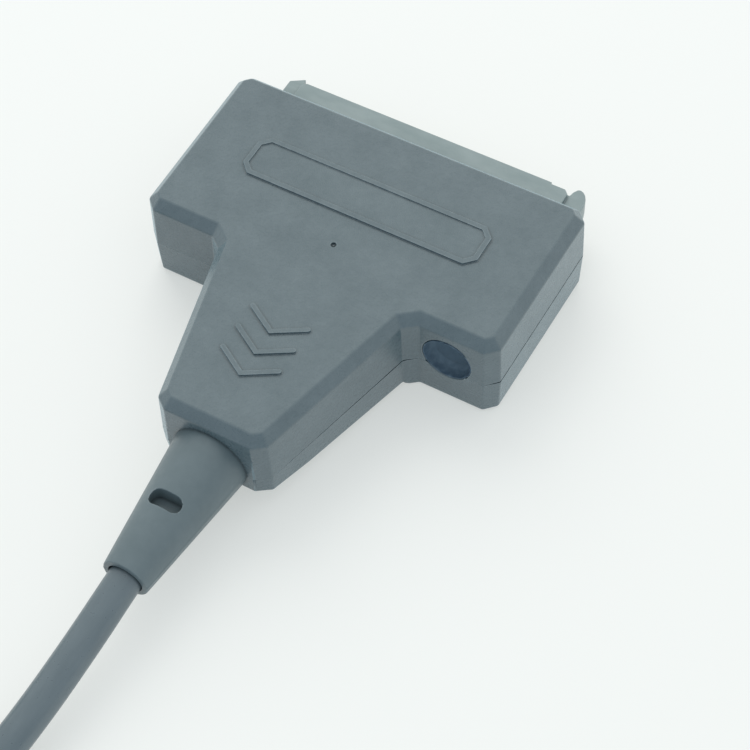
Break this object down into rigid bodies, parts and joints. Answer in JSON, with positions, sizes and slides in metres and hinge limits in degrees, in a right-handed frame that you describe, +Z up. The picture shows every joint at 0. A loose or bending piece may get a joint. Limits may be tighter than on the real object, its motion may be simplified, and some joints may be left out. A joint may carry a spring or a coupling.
{
  "type": "usb to sata adapter",
  "caption": "T-shaped moulded adapter with a SATA receptacle, a round power socket in its shoulder, a strain relief and a short cable ending in a USB-A plug.",
  "frame": {"origin": "on the table under the middle of the casing with its receptacle and strain relief", "axes": "+Y out of the SATA receptacle, +X towards the power socket's side, +Z up"},
  "size_m": [0.0828, 0.1476, 0.0138],
  "materials": {
    "casing": "satin, fine moulded grain",
    "receptacle": "satin",
    "cable_jacket": "smooth, soft sheen",
    "black_resin": "matt",
    "tongue_plastic": "satin",
    "board": "solder mask",
    "contact_plating": "plated",
    "plated_steel": "bright plated",
    "red_insulation": "smooth",
    "white_insulation": "smooth",
    "green_insulation": "smooth",
    "black_insulation": "smooth"
  },
  "bodies": {
    "root": {"top_shell": "casing", "bottom_shell": "casing", "sata_housing": "receptacle", "sata_power_contact_1": "contact_plating", "sata_power_contact_2": "contact_plating", "sata_power_contact_3": "contact_plating", "sata_power_contact_4": "contact_plating", "sata_power_contact_5": "contact_plating", "sata_power_contact_6": "contact_plating", "sata_power_contact_7": "contact_plating", "sata_power_contact_8": "contact_plating", "sata_power_contact_9": "contact_plating", "sata_power_contact_10": "contact_plating", "sata_power_contact_11": "contact_plating", "sata_power_contact_12": "contact_plating", "sata_power_contact_13": "contact_plating", "sata_power_contact_14": "contact_plating", "sata_power_contact_15": "contact_plating", "sata_signal_contact_1": "contact_plating", "sata_signal_contact_2": "contact_plating", "sata_signal_contact_3": "contact_plating", "sata_signal_contact_4": "contact_plating", "sata_signal_contact_5": "contact_plating", "sata_signal_contact_6": "contact_plating", "sata_signal_contact_7": "contact_plating", "usb_contact_1": "contact_plating", "usb_contact_2": "contact_plating", "usb_contact_3": "contact_plating", "usb_contact_4": "contact_plating", "circuit_board": "board", "bridge_chip": "black_resin", "flash_chip": "black_resin", "crystal": "plated_steel", "power_inductor": "black_resin", "voltage_regulator": "black_resin", "filter_capacitor_1": "plated_steel", "filter_capacitor_2": "plated_steel", "power_jack_body": "black_resin", "power_jack_pin": "plated_steel", "power_jack_sleeve": "plated_steel", "strain_relief": "cable_jacket", "cable": "cable_jacket", "cable_coil": "cable_jacket", "cable_end": "cable_jacket", "usb_plug_grip": "cable_jacket", "usb_plug_shell": "plated_steel", "usb_plug_tongue": "tongue_plastic", "signal_wire_1": "red_insulation", "signal_wire_2": "white_insulation", "signal_wire_3": "green_insulation", "signal_wire_4": "black_insulation"}
  },
  "joints": []
}
